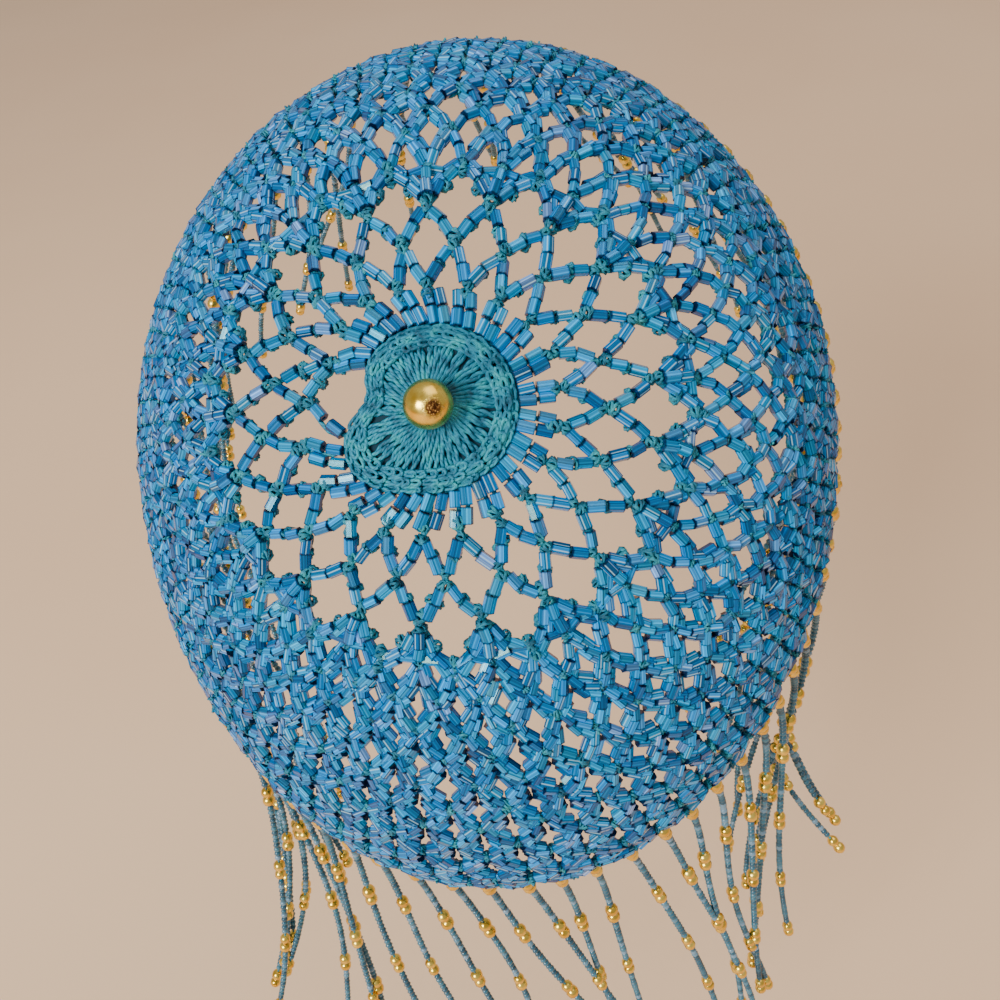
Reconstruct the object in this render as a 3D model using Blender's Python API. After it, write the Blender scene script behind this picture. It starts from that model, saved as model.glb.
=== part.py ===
"""Beaded crochet skull cap with a long beaded fringe, as it sits on a head bowed forward.

Metres, +Z up. The origin is where the crown of the head meets the cap. Every piece is made in the cap's
own frame, with +Z out through the crown and -Y towards the forehead, and hangs on an empty that bows it.
Angles run round the cap from the forehead (0) by the wearer's left side, which is +X (90 degrees).
"""
import math

import bmesh
import bpy
from mathutils import Matrix, Vector

# Head that the cap fits, measured on the cap's inner face
HALF_WIDTH = 0.076
FOREHEAD_REACH = 0.098
NAPE_REACH = 0.087
CROWN_HEIGHT = 0.0695
BOW = math.radians(45)

# Slope of the dome at the hem, counted from the crown
HEM_SLOPE = math.radians(72.5)

# Walls, a bead thick
WALL = 0.0020
FIT_GAP = 0.0003

# Crown bead and crochet disc
CROWN_BEAD_RADIUS = 0.0040
DISC_RADIUS = 0.0130
DISC_EDGE_THICK = 0.0022
DISC_MIDDLE_THICK = 0.0016
DISC_SCALLOP = 0.03

# Where the disc is folded in, and where it and the knots of the net have slipped outwards: middle angle,
# spread and height of each hump, then how much of the knots' hump each coarse round takes. One of the first
# knots is drawn in, and the columns and first knots round it have turned away from the opening in the collar
DISC_FOLD = (math.radians(-102), math.radians(18), 0.0026)
DISC_SLIP = (math.radians(-57), math.radians(30), 0.0033)
KNOT_SLIP = (math.radians(-70), math.radians(34), 0.0030)
KNOT_SHARE = (1.0, 0.8, 0.4, 0.0)
KNOT_FOLD = (math.radians(-118), math.radians(9), 0.0025)
TURNED = (math.radians(-125), math.radians(35), math.radians(7.5))

# Beaded rounds of the net, by their distance from the cap's axis
REPEATS = 21
COLLAR_INNER = 0.0136
COLLAR_OUTER = 0.0198
COLLAR_NOTCH = 0.0034
COLLAR_VALLEY = 0.0011
PARTED_ANGLE = -5.5 * 2 * math.pi / REPEATS
PARTED_INSIDE = math.radians(14.2)
PARTED_OUTSIDE = math.radians(1.5)
COLLAR_FOLD_SHARE = 0.6
BRIDGED_AT = 30
KNOT_REACH = (0.0202, 0.0276, 0.0350, 0.0422)
DENSE_ROUNDS = 12
CROWDING = 0.20
ARM_HALF_WIDTH = 0.0011
ARM_SPREAD = 0.07
ARM_MOST = 0.45

# Hem and fringe
BAND_SLOPE = math.radians(4.2)
BAND_THICK = 0.0026
CORD_THICK = 0.0020
LOCKS = 38
LOCK_LENGTH = 0.122
LOCK_PARTS = (0.05, 0.08, 0.12, 0.20, 0.27, 0.28)
LOCK_BEND_PARTS = 4
LOCK_WIDTH = 0.0046
LOCK_TIP = 0.75
LOCK_THICK = 0.0021

# How the strands fall: angle round the cap, how far they lean out and sideways for each length down, and
# how far out at their tips
FALL_ANGLE, FALL_OUT, FALL_SIDE, FALL_TIP = range(4)
FALL = (
    (-180, 0.80, 0.00, 0.80),
    (-140, 0.50, 0.00, 0.50),
    (-112, 0.02, 0.10, 0.02),
    (-88, -0.31, 0.34, -0.06),
    (-68, -0.20, 0.37, 0.07),
    (-60, -0.32, 0.34, 0.55),
    (-54, -0.40, 0.26, 0.95),
    (-48, -0.36, 0.17, 1.10),
    (-43, -0.22, 0.09, 0.90),
    (-34, 0.06, 0.09, 0.43),
    (-20, 0.14, 0.14, 0.14),
    (0, 0.05, 0.20, 0.05),
    (20, 0.06, 0.16, 0.06),
    (38, 0.14, 0.06, 0.14),
    (56, -0.10, -0.18, 0.10),
    (76, -0.40, -0.14, -0.05),
    (95, -0.40, -0.20, -0.25),
    (118, 0.06, 0.00, 0.06),
    (142, 0.50, 0.00, 0.50),
    (180, 0.80, 0.00, 0.80),
)

TURN = 2 * math.pi


def head_reach(angle):
    """Distance from the cap's axis to the widest line of the head."""
    lengthwise = FOREHEAD_REACH if math.cos(angle) > 0 else NAPE_REACH
    return 1 / math.hypot(math.sin(angle) / HALF_WIDTH, math.cos(angle) / lengthwise)


def slope_at(angle, reach):
    """Slope of the dome where it is this far from the axis."""
    return math.asin(reach / head_reach(angle))


def dome(angle, slope, lift):
    """Point on the dome at this slope, moved out along its normal by lift."""
    lengthwise = FOREHEAD_REACH if math.cos(angle) > 0 else NAPE_REACH
    reach = head_reach(angle) * math.sin(slope)
    x = reach * math.sin(angle)
    y = -reach * math.cos(angle)
    z = CROWN_HEIGHT * math.cos(slope)
    normal = Vector((x / HALF_WIDTH ** 2, y / lengthwise ** 2, z / CROWN_HEIGHT ** 2)).normalized()
    return Vector((x, y, z - CROWN_HEIGHT)) + normal * lift


def swell(angle, hump):
    """Height of a hump at this angle."""
    middle, spread, height = hump
    off = (angle - middle + math.pi) % TURN - math.pi
    return height * math.exp(-(off / spread) ** 2)


def knot_reach(level, angle):
    """Distance from the axis of a coarse round of knots, or of a place between two of them."""
    below = min(int(level), len(KNOT_REACH) - 2)
    part = level - below
    reach = KNOT_REACH[below] + (KNOT_REACH[below + 1] - KNOT_REACH[below]) * part
    share = KNOT_SHARE[below] + (KNOT_SHARE[below + 1] - KNOT_SHARE[below]) * part
    return reach + swell(angle, KNOT_SLIP) * share - swell(angle, KNOT_FOLD) * max(0.0, 1 - level)


def turned(angle, share=1.0):
    """Where the columns and first knots of this angle lie, which have turned away from the opening."""
    return angle - swell(angle, TURNED) * share


def round_slope(angle, round_number):
    """Slope of a dense round: 0 is the last coarse one and DENSE_ROUNDS is the hem. Away from the forehead
    the rounds crowd towards the hem."""
    first = slope_at(angle, KNOT_REACH[-1])
    ease = 1 - CROWDING * (1 - max(0.0, math.cos(angle)) ** 2)
    return first + (HEM_SLOPE - first) * (round_number / DENSE_ROUNDS) ** ease


def material(name, colour, roughness, metallic=0.0):
    mat = bpy.data.materials.new(name)
    mat.use_nodes = True
    shader = mat.node_tree.nodes["Principled BSDF"]
    shader.inputs["Base Color"].default_value = (*colour, 1.0)
    shader.inputs["Roughness"].default_value = roughness
    shader.inputs["Metallic"].default_value = metallic
    return mat


def add_object(name, bm, mat, parent):
    mesh = bpy.data.meshes.new(name)
    bm.to_mesh(mesh)
    bm.free()
    mesh.materials.append(mat)
    obj = bpy.data.objects.new(name, mesh)
    bpy.context.collection.objects.link(obj)
    obj.parent = parent
    return obj


def closed_wall(sections, all_round=True):
    """Skin closed sections, each a list of points, into one closed body: a ring, or a part of one."""
    bm = bmesh.new()
    rings = [[bm.verts.new(point) for point in section] for section in sections]
    for ring, after in zip(rings, rings[1:] + rings[:1] if all_round else rings[1:]):
        for i in range(len(ring)):
            j = (i + 1) % len(ring)
            bm.faces.new((ring[i], after[i], after[j], ring[j]))
    if not all_round:
        bm.faces.new(rings[0])
        bm.faces.new(rings[-1])
    bmesh.ops.recalc_face_normals(bm, faces=bm.faces)
    return bm


def make_crown_bead(mat, parent):
    """A smooth ball that sits on the crochet disc."""
    bm = bmesh.new()
    bmesh.ops.create_uvsphere(bm, u_segments=16, v_segments=10, radius=CROWN_BEAD_RADIUS)
    obj = add_object("crown_bead", bm, mat, parent)
    obj.location = (0, 0, DISC_MIDDLE_THICK + FIT_GAP + CROWN_BEAD_RADIUS)
    obj.data.shade_smooth()


def disc_edge(angle):
    """Radius of the crochet disc, which is drawn in where it is folded."""
    return DISC_RADIUS + swell(angle, DISC_SLIP) - swell(angle, DISC_FOLD)


def make_medallion(mat, parent):
    """Crochet disc with a thick chain-stitch edge in scallops, one for each pair of bead columns."""
    steps = 2 * REPEATS
    #        part of the radius, thickness of the disc there
    profile = ((0.30, DISC_MIDDLE_THICK), (0.62, 0.0018), (0.84, 0.0019), (0.94, DISC_EDGE_THICK), (1.00, 0.0012))
    bm = bmesh.new()
    top, under = [], []
    for part, thick in profile:
        for side, lift_here in ((top, thick), (under, 0.0)):
            ring = []
            for i in range(steps):
                angle = TURN * i / steps
                scallop = 1 - DISC_SCALLOP * (i % 2) * part
                slope = slope_at(angle, disc_edge(angle) * part * scallop)
                ring.append(bm.verts.new(dome(angle, slope, lift_here)))
            side.append(ring)
    centres = [bm.verts.new(dome(0, 0, lift)) for lift in (DISC_MIDDLE_THICK, 0.0)]
    for rings, centre in ((top, centres[0]), (under, centres[1])):
        for i in range(steps):
            bm.faces.new((centre, rings[0][i], rings[0][(i + 1) % steps]))
        for ring, after in zip(rings, rings[1:]):
            for i in range(steps):
                j = (i + 1) % steps
                bm.faces.new((ring[i], after[i], after[j], ring[j]))
    for i in range(steps):
        j = (i + 1) % steps
        bm.faces.new((top[-1][i], under[-1][i], under[-1][j], top[-1][j]))
    bmesh.ops.recalc_face_normals(bm, faces=bm.faces)
    add_object("medallion", bm, mat, parent)


def collar_point(angle, reach, lift):
    """Point of the collar, moved round away from where its columns are parted, most at their inner ends."""
    off = (angle - PARTED_ANGLE) % TURN
    outward = (reach - COLLAR_INNER) / (COLLAR_OUTER - COLLAR_INNER)
    most = PARTED_INSIDE + (PARTED_OUTSIDE - PARTED_INSIDE) * outward
    moved = turned(angle + most * (1 - off / math.pi))
    inside = swell(moved, DISC_SLIP) - COLLAR_FOLD_SHARE * swell(moved, DISC_FOLD)
    outside = swell(moved, KNOT_SLIP) - swell(moved, KNOT_FOLD)
    return dome(moved, slope_at(moved, reach + inside + (outside - inside) * outward), lift)


def make_bead_collar(mat, parent):
    """Doubled columns of bugle beads side by side, notched between one pair and the next.

    The ring is open beside the column of one knot: the other column of its pair is not sewn to the disc,
    but bridges the way to the next knot, as an arm of the net.
    """
    quarter = TURN / (4 * REPEATS)
    opening = round(PARTED_ANGLE / quarter)
    sections = []
    last = opening + 4 * REPEATS - 2
    for i in [opening + 0.5] + list(range(opening + 1, last)) + [last - 0.5]:
        outer, crest = COLLAR_OUTER, WALL
        if i % 2 != 1:
            crest = COLLAR_VALLEY
        if i % 4 == 0:
            outer -= COLLAR_NOTCH
        middle = (COLLAR_INNER + outer) / 2
        stations = [(COLLAR_INNER, 0.0), (outer, 0.0), (outer, crest), (middle, crest), (COLLAR_INNER, crest)]
        sections.append([collar_point(i * quarter, reach, lift) for reach, lift in stations])
    add_object("bead_collar", closed_wall(sections, all_round=False), mat, parent)


def make_crown_net(mat, parent):
    """Net of beaded arms from knot to knot, open between them, out to the second dense round.

    Knots are named by their round and by their place in half repeats. Each gap has its edge on the lines
    between its knots, and a smaller opening inside: the strip between the two is half of each arm.
    """
    bm = bmesh.new()
    half_step = TURN / (2 * REPEATS)
    coarse = len(KNOT_REACH) - 1
    points = {}

    def place(level, half_steps):
        angle = half_steps * half_step
        if level <= coarse:
            angle = turned(angle, max(0.0, 1 - level))
            return angle, slope_at(angle, knot_reach(level, angle))
        return angle, round_slope(angle, level - coarse)

    def knot(level, half_steps):
        key = (round(level, 3), round(half_steps % (2 * REPEATS), 3))
        if key not in points:
            points[key] = bm.verts.new(dome(*place(level, half_steps), 0.0))
        return points[key]

    def arm_line(corners, closed):
        """The corners, with the middle of each arm between them."""
        line = []
        ends = zip(corners, corners[1:] + corners[:1]) if closed else zip(corners, corners[1:])
        for (level_a, at_a), (level_b, at_b) in ends:
            line += [(level_a, at_a), ((level_a + level_b) / 2, (at_a + at_b) / 2)]
        return line if closed else line + [corners[-1]]

    def opening(corners, centre, closed=True, bent=True):
        """Strips along the arms between these corners, around an opening about the centre."""
        line = arm_line(corners, closed) if bent else corners
        outer = [knot(*at) for at in line]
        middle = dome(*place(*centre), 0.0)
        inner = []
        for vert in outer:
            towards = middle - vert.co
            inset = min(ARM_HALF_WIDTH + ARM_SPREAD * towards.length, ARM_MOST * towards.length)
            inner.append(bm.verts.new(vert.co + towards.normalized() * inset))
        count = len(outer) if closed else len(outer) - 1
        for i in range(count):
            j = (i + 1) % len(outer)
            bm.faces.new((outer[i], outer[j], inner[j], inner[i]))
        return inner

    first_inner = {}
    for i in range(REPEATS):
        at = 2 * i
        bridged = at == BRIDGED_AT
        inner = opening([(0, at - 1), (1, at), (0, at + 1)], (0.45 if bridged else 0, at), closed=bridged)
        first_inner[(at - 1) % (2 * REPEATS), "after"] = inner[0]
        first_inner[(at + 1) % (2 * REPEATS), "before"] = inner[-1]
        opening([(0, at + 1), (1, at + 2), (2, at + 1), (1, at)], (1, at + 1))
        opening([(1, at), (2, at + 1), (3, at), (2, at - 1)], (2, at))
    for i in range(REPEATS):
        at = (2 * i + 1) % (2 * REPEATS)
        if abs(at - BRIDGED_AT) != 1:
            bm.faces.new((knot(0, at), first_inner[at, "before"], first_inner[at, "after"]))
        bm.faces.new((knot(2, at), knot(2.5, at + 0.5), knot(3, at + 1), knot(3, at)))
        bm.faces.new((knot(2, at), knot(3, at), knot(3, at - 1), knot(2.5, at - 0.5)))
    for at in range(2 * REPEATS):
        opening([(3, at), (4, at + 0.5), (5, at), (4, at - 0.5)], (4, at), bent=False)
        bm.faces.new((knot(3, at), knot(3, at + 1), knot(4, at + 0.5)))
        bm.faces.new((knot(5, at), knot(4, at + 0.5), knot(5, at + 1)))
    bmesh.ops.recalc_face_normals(bm, faces=bm.faces)
    obj = add_object("crown_net", bm, mat, parent)
    if faces_point_in(obj.data):
        obj.data.flip_normals()
    wall = obj.modifiers.new("bead thickness", "SOLIDIFY")
    wall.thickness = WALL
    wall.offset = 1.0


def faces_point_in(mesh):
    """Whether an open sheet's faces point into the head."""
    return sum(face.normal.z * face.area for face in mesh.polygons) < 0


def make_side_net(mat, parent):
    """The dense net as one wall from the crown net to the hem band."""
    steps, rows = 72, 5
    sections = []
    for i in range(steps):
        angle = TURN * i / steps
        gap = FIT_GAP / head_reach(angle)
        top = round_slope(angle, 2) + gap
        bottom = HEM_SLOPE - BAND_SLOPE - gap
        slopes = [top + (bottom - top) * row / rows for row in range(rows + 1)]
        outer = [dome(angle, slope, WALL) for slope in slopes]
        inner = [dome(angle, slope, 0.0) for slope in reversed(slopes)]
        sections.append(outer + inner)
    add_object("side_net", closed_wall(sections), mat, parent)


def make_hem_band(mat, parent):
    """The close crochet edge, a little thicker than the net."""
    steps = 72
    #        part of the band's height, thickness there
    profile = ((0.0, 0.0018), (0.2, BAND_THICK), (0.8, BAND_THICK), (1.0, 0.0018))
    sections = []
    for i in range(steps):
        angle = TURN * i / steps
        top = HEM_SLOPE - BAND_SLOPE
        outer = [dome(angle, top + BAND_SLOPE * part, thick) for part, thick in profile]
        inner = [dome(angle, slope, 0.0) for slope in (HEM_SLOPE, top)]
        sections.append(outer + inner)
    add_object("hem_band", closed_wall(sections), mat, parent)


def fall_at(angle):
    """How far strands at this angle lean out and sideways, and out at their tips."""
    degrees = (math.degrees(angle) + 180) % 360 - 180
    for row, after in zip(FALL, FALL[1:]):
        if degrees <= after[FALL_ANGLE]:
            part = (degrees - row[FALL_ANGLE]) / (after[FALL_ANGLE] - row[FALL_ANGLE])
            return [row[k] + (after[k] - row[k]) * part for k in (FALL_OUT, FALL_SIDE, FALL_TIP)]
    return list(FALL[-1][FALL_OUT:])


def lock_path(angle, start):
    """Middle line of a lock: out of the hem along the dome, then down under its own weight."""
    out = Vector((math.sin(angle), -math.cos(angle), 0))
    side = Vector((math.cos(angle), math.sin(angle), 0))
    down = Matrix.Rotation(-BOW, 3, "X") @ Vector((0, 0, -1))
    lean_out, lean_side, lean_tip = fall_at(angle)
    leave = (dome(angle, HEM_SLOPE, 0) - dome(angle, HEM_SLOPE - BAND_SLOPE, 0)).normalized()
    path, point = [start], start
    for k, part in enumerate(LOCK_PARTS):
        bend = min(1.0, (k + 1) / LOCK_BEND_PARTS)
        middle = sum(LOCK_PARTS[:k]) + part / 2
        fall = (down + out * (lean_out + (lean_tip - lean_out) * middle) + side * lean_side).normalized()
        point = point + leave.lerp(fall, bend).normalized() * LOCK_LENGTH * part
        path.append(point)
    return path


def make_fringe(mat, parent):
    """Heading cord under the hem, with the strands drawn down out of it as locks."""
    steps = 2 * LOCKS
    gap = FIT_GAP / CROWN_HEIGHT
    cord = CORD_THICK / CROWN_HEIGHT
    top = HEM_SLOPE + gap
    bm = bmesh.new()
    rings = []
    for i in range(steps):
        angle = TURN * (i - 0.5) / steps
        section = ((top, 0.0), (top, LOCK_THICK), (top + cord, LOCK_THICK), (top + cord, 0.0))
        rings.append([bm.verts.new(dome(angle, slope, lift)) for slope, lift in section])
    for i in range(steps):
        ring, after = rings[i], rings[(i + 1) % steps]
        for k in range(4):
            if k == 2 and i % 2 == 0:
                continue
            j = (k + 1) % 4
            bm.faces.new((ring[k], after[k], after[j], ring[j]))
    for i in range(0, steps, 2):
        angle = TURN * i / steps
        root = [rings[i][2], rings[(i + 1) % steps][2], rings[(i + 1) % steps][3], rings[i][3]]
        start = sum((vert.co for vert in root), Vector()) / 4
        path = lock_path(angle, start)
        out = Vector((math.sin(angle), -math.cos(angle), 0))
        last = root
        for k, point in enumerate(path[1:]):
            along = (path[k + 1] - path[k]).normalized()
            across = along.cross(out).normalized()
            away = across.cross(along)
            width = LOCK_WIDTH * (LOCK_TIP if point is path[-1] else 1.0)
            corners = ((-1, 1), (1, 1), (1, -1), (-1, -1))
            if across.dot(root[1].co - root[0].co) < 0:
                across = -across
            ring = [bm.verts.new(point + across * s * width / 2 + away * t * LOCK_THICK / 2) for s, t in corners]
            for m in range(4):
                n = (m + 1) % 4
                bm.faces.new((last[m], last[n], ring[n], ring[m]))
            last = ring
        bm.faces.new(last)
    bmesh.ops.recalc_face_normals(bm, faces=bm.faces)
    add_object("fringe", bm, mat, parent)


for old in list(bpy.data.objects):
    bpy.data.objects.remove(old)

bowed = bpy.data.objects.new("bowed_head", None)
bpy.context.collection.objects.link(bowed)
bowed.rotation_euler.x = BOW

gold = material("gold_bead", (0.83, 0.58, 0.16), 0.25, 1.0)
teal_cotton = material("teal_cotton", (0.03, 0.33, 0.38), 0.85)
blue_glass = material("blue_glass", (0.02, 0.30, 0.52), 0.18)

make_crown_bead(gold, bowed)
make_medallion(teal_cotton, bowed)
make_bead_collar(blue_glass, bowed)
make_crown_net(blue_glass, bowed)
make_side_net(blue_glass, bowed)
make_hem_band(teal_cotton, bowed)
make_fringe(blue_glass, bowed)
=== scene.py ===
"""Looks of the beaded crochet cap: every bugle bead, knot and thread of it, and its fringe.

Metres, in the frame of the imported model: +Z up, -Y to the front of the cap, +X to its left as it is worn.
The cap is bowed forward, so shapes are worked out in its own upright frame and turned by BOWED as they are
made. An angle goes round the cap's axis, from 0 at the front to a quarter turn at its left.
"""
import math
import random

import bmesh
import bpy
from mathutils import Matrix, Vector


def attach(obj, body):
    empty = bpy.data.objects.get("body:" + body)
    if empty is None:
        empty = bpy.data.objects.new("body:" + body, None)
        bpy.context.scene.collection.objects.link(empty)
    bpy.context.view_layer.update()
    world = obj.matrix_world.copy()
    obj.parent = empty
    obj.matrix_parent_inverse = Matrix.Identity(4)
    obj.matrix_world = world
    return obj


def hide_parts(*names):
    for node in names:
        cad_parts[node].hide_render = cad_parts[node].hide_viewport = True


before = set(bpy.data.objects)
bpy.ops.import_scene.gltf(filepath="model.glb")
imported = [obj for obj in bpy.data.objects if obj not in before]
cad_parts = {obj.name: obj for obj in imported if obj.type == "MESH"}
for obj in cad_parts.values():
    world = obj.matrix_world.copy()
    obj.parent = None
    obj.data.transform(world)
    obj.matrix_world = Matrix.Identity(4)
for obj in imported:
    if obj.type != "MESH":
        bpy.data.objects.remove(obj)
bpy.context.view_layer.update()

# Crochet disc at the crown: fifty long stitches of two-ply teal cotton that fan out from a small ring,
# held at their tops by rounds of chain stitch. It is the start of the work, drawn in on its right side and
# slipped outwards in front of that, with the rounds next to it.
TURN = 2 * math.pi
BOWED = Matrix.Rotation(math.radians(45), 4, "X")
DOME_HALF_WIDTH = 0.076
DOME_TO_FRONT = 0.098
DOME_TO_BACK = 0.087
DOME_HEIGHT = 0.0695
DISC_RADIUS = 0.0130
DISC_FOLD = (math.radians(-102), math.radians(18), 0.0026)
DISC_SLIP = (math.radians(-57), math.radians(30), 0.0033)
THREAD_RADIUS = 0.00034
PLY_TWIST = 0.0011
STITCHES = 50
INNER_RING = 0.24
CHAIN_LOOPS = 42


def half_length(angle):
    """Half length of the dome on the side of this angle, which counts from the front."""
    return DOME_TO_FRONT if math.cos(angle) > 0 else DOME_TO_BACK


def full_reach(angle):
    """Distance from the cap's axis to the widest line of the dome."""
    return 1 / math.hypot(math.sin(angle) / DOME_HALF_WIDTH, math.cos(angle) / half_length(angle))


def slope_at(angle, reach):
    """Slope of the dome where it is this far from the axis."""
    return math.asin(min(reach / full_reach(angle), 1))


def dome_normal(angle, slope):
    reach = full_reach(angle) * math.sin(slope)
    return Vector((reach * math.sin(angle) / DOME_HALF_WIDTH ** 2,
                   -reach * math.cos(angle) / half_length(angle) ** 2,
                   math.cos(slope) / DOME_HEIGHT)).normalized()


def dome(angle, slope, lift):
    """Point on the dome at this slope, moved out along its normal by lift, in the cap's upright frame."""
    reach = full_reach(angle) * math.sin(slope)
    z = DOME_HEIGHT * (math.cos(slope) - 1)
    foot = Vector((reach * math.sin(angle), -reach * math.cos(angle), z))
    return foot + dome_normal(angle, slope) * lift


def swell(angle, hump):
    """Height at this angle of a hump with this middle, spread and height."""
    middle, spread, height = hump
    off = (angle - middle + math.pi) % TURN - math.pi
    return height * math.exp(-(off / spread) ** 2)


def chains(name, lines):
    """Mesh of separate open lines, each a list of points of the upright cap, turned to the bowed one."""
    verts, edges = [], []
    for line in lines:
        first = len(verts)
        verts += [BOWED @ point for point in line]
        edges += [(first + k, first + k + 1) for k in range(len(line) - 1)]
    mesh = bpy.data.meshes.new(name)
    mesh.from_pydata(verts, edges, [])
    obj = bpy.data.objects.new(name, mesh)
    bpy.context.collection.objects.link(obj)
    return obj


class Nodes:
    """A node tree under construction, whose nodes are linked as they are put in."""

    def put(self, kind, out=0, settings=None, **sockets):
        """Adds a node, fills its sockets by number or name, and returns the output asked for."""
        node = self.group.nodes.new(kind)
        for key, value in (settings or {}).items():
            setattr(node, key, value)
        for key, value in sockets.items():
            socket = node.inputs[int(key[1:])] if key[1:].isdigit() else node.inputs[key.replace("_", " ")]
            if isinstance(value, bpy.types.NodeSocket):
                self.group.links.new(value, socket)
            else:
                socket.default_value = value
        return node.outputs[out]

    def math(self, how, a, b=0.0, c=0.0):
        return self.put("ShaderNodeMath", settings={"operation": how}, s0=a, s1=b, s2=c)


class Tree(Nodes):
    """A Geometry Nodes tree with named inputs."""

    def __init__(self, name, inputs):
        self.group = bpy.data.node_groups.new(name, "GeometryNodeTree")
        face = self.group.interface
        face.new_socket("Geometry", in_out="OUTPUT", socket_type="NodeSocketGeometry")
        face.new_socket("Geometry", in_out="INPUT", socket_type="NodeSocketGeometry")
        for label, kind in inputs.items():
            face.new_socket(label, in_out="INPUT", socket_type="NodeSocket" + kind)
        self.inputs = self.group.nodes.new("NodeGroupInput").outputs

    def finish(self, geometry):
        end = self.group.nodes.new("NodeGroupOutput")
        self.group.links.new(geometry, end.inputs[0])
        return self.group


def bake(obj, tree, values):
    """Runs a tree on the object with these inputs and leaves the result as its plain mesh."""
    modifier = obj.modifiers.new(tree.name, "NODES")
    modifier.node_group = tree
    for item in tree.interface.items_tree:
        if item.in_out == "INPUT" and item.name in values:
            modifier[item.identifier] = values[item.name]
    bpy.context.view_layer.update()
    depsgraph = bpy.context.evaluated_depsgraph_get()
    mesh = bpy.data.meshes.new_from_object(obj.evaluated_get(depsgraph), depsgraph=depsgraph)
    obj.modifiers.remove(modifier)
    obj.data = mesh
    mesh.name = obj.name
    mesh.shade_smooth()
    return obj


def join(name, objects):
    """Makes one object of several."""
    bpy.ops.object.select_all(action="DESELECT")
    for obj in objects:
        obj.select_set(True)
    bpy.context.view_layer.objects.active = objects[0]
    bpy.ops.object.join()
    objects[0].name = name
    objects[0].data.name = name
    return objects[0]


def twisted_thread_tree():
    """Thread of even thickness along each line, with its length and turn kept for the ply's twist."""
    tree = Tree("twisted thread", {"Radius": "Float", "Sides": "Int", "Points": "Int",
                                   "Material": "Material"})
    curve = tree.put("GeometryNodeMeshToCurve", Mesh=tree.inputs["Geometry"])
    curve = tree.put("GeometryNodeCurveSplineType", settings={"spline_type": "CATMULL_ROM"}, Curve=curve)
    curve = tree.put("GeometryNodeResampleCurve", Curve=curve, Count=tree.inputs["Points"])
    along = tree.put("GeometryNodeSplineParameter", out=1)
    curve = tree.put("GeometryNodeStoreNamedAttribute", settings={"data_type": "FLOAT", "domain": "POINT"},
                     Geometry=curve, Name="along", Value=along)
    ring = tree.put("GeometryNodeCurvePrimitiveCircle", Resolution=tree.inputs["Sides"],
                    Radius=tree.inputs["Radius"])
    turn = tree.put("GeometryNodeSplineParameter", out=0)
    ring = tree.put("GeometryNodeStoreNamedAttribute", settings={"data_type": "FLOAT", "domain": "POINT"},
                    Geometry=ring, Name="turn", Value=turn)
    tube = tree.put("GeometryNodeCurveToMesh", Curve=curve, Profile_Curve=ring, Fill_Caps=True)
    tube = tree.put("GeometryNodeRealizeInstances", Geometry=tube)
    return tree.finish(tree.put("GeometryNodeSetMaterial", Geometry=tube, Material=tree.inputs["Material"]))


class Shader(Nodes):
    """A material around its Principled shader."""

    def __init__(self, name, **fixed):
        self.material = bpy.data.materials.new(name)
        self.material.use_nodes = True
        self.group = self.material.node_tree
        self.shader = self.group.nodes["Principled BSDF"]
        for key, value in fixed.items():
            self.shader.inputs[key.replace("_", " ")].default_value = value

    def ramp(self, value, stops):
        """Colour that goes from stop to stop as the value does."""
        colour = self.put("ShaderNodeValToRGB", s0=value)
        elements = colour.node.color_ramp.elements
        while len(elements) < len(stops):
            elements.new(1.0)
        for element, (at, tone) in zip(elements, stops):
            element.position = at
            element.color = (*tone, 1.0)
        return colour

    def drive(self, name, value):
        self.group.links.new(value, self.shader.inputs[name])


def cotton_material(name, light):
    """Two-ply mercerised cotton: oblique stripes of the twist, painted as shade in the grooves between the
    plies and painted light on each ply, and stray fibres.
    """
    m = Shader(name, Roughness=0.60)
    place = m.put("ShaderNodeTexCoord", out=3)
    along = m.put("ShaderNodeAttribute", out=2, settings={"attribute_name": "along"})
    turn = m.put("ShaderNodeAttribute", out=2, settings={"attribute_name": "turn"})
    twist = m.math("ADD", m.math("MULTIPLY", along, TURN / PLY_TWIST), m.math("MULTIPLY", turn, 2 * TURN))
    wave = m.math("SINE", twist)
    ply = m.math("MULTIPLY_ADD", wave, 0.5, 0.5)
    fibre = m.put("ShaderNodeTexNoise", Vector=place, Scale=5200.0, Detail=2.0)
    cloud = m.put("ShaderNodeTexNoise", Vector=place, Scale=420.0, Detail=3.0)
    # Painted shade and light of the twist: the colour goes near-black where the plies turn into the groove
    # and light on each ply.
    shade = m.math("MULTIPLY_ADD", ply, 0.5, m.math("MULTIPLY_ADD", fibre, 0.5, 0.5))
    colour = m.ramp(shade, [(at, [light * part for part in tone]) for at, tone in (
        (0.28, (0.000, 0.008, 0.020)), (0.60, (0.000, 0.070, 0.115)), (0.92, (0.020, 0.33, 0.44)))])
    tinted = m.put("ShaderNodeMixRGB", settings={"blend_type": "MULTIPLY"}, Fac=0.9, Color1=colour,
                   Color2=m.ramp(cloud, ((0.32, (0.10, 0.26, 0.36)), (0.50, (0.75, 0.85, 0.95)),
                                         (0.68, (1.75, 1.45, 1.20)))))
    m.drive("Base Color", tinted)
    m.drive("Normal", m.put("ShaderNodeBump", Strength=0.8, Distance=0.00018, Height=shade))
    return m.material


def disc_edge(angle):
    """Radius of the crochet disc, which is drawn in where it is folded."""
    return DISC_RADIUS + swell(angle, DISC_SLIP) - swell(angle, DISC_FOLD)


def disc_point(angle, part, lift):
    return dome(angle, slope_at(angle, disc_edge(angle) * part), lift)


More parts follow.
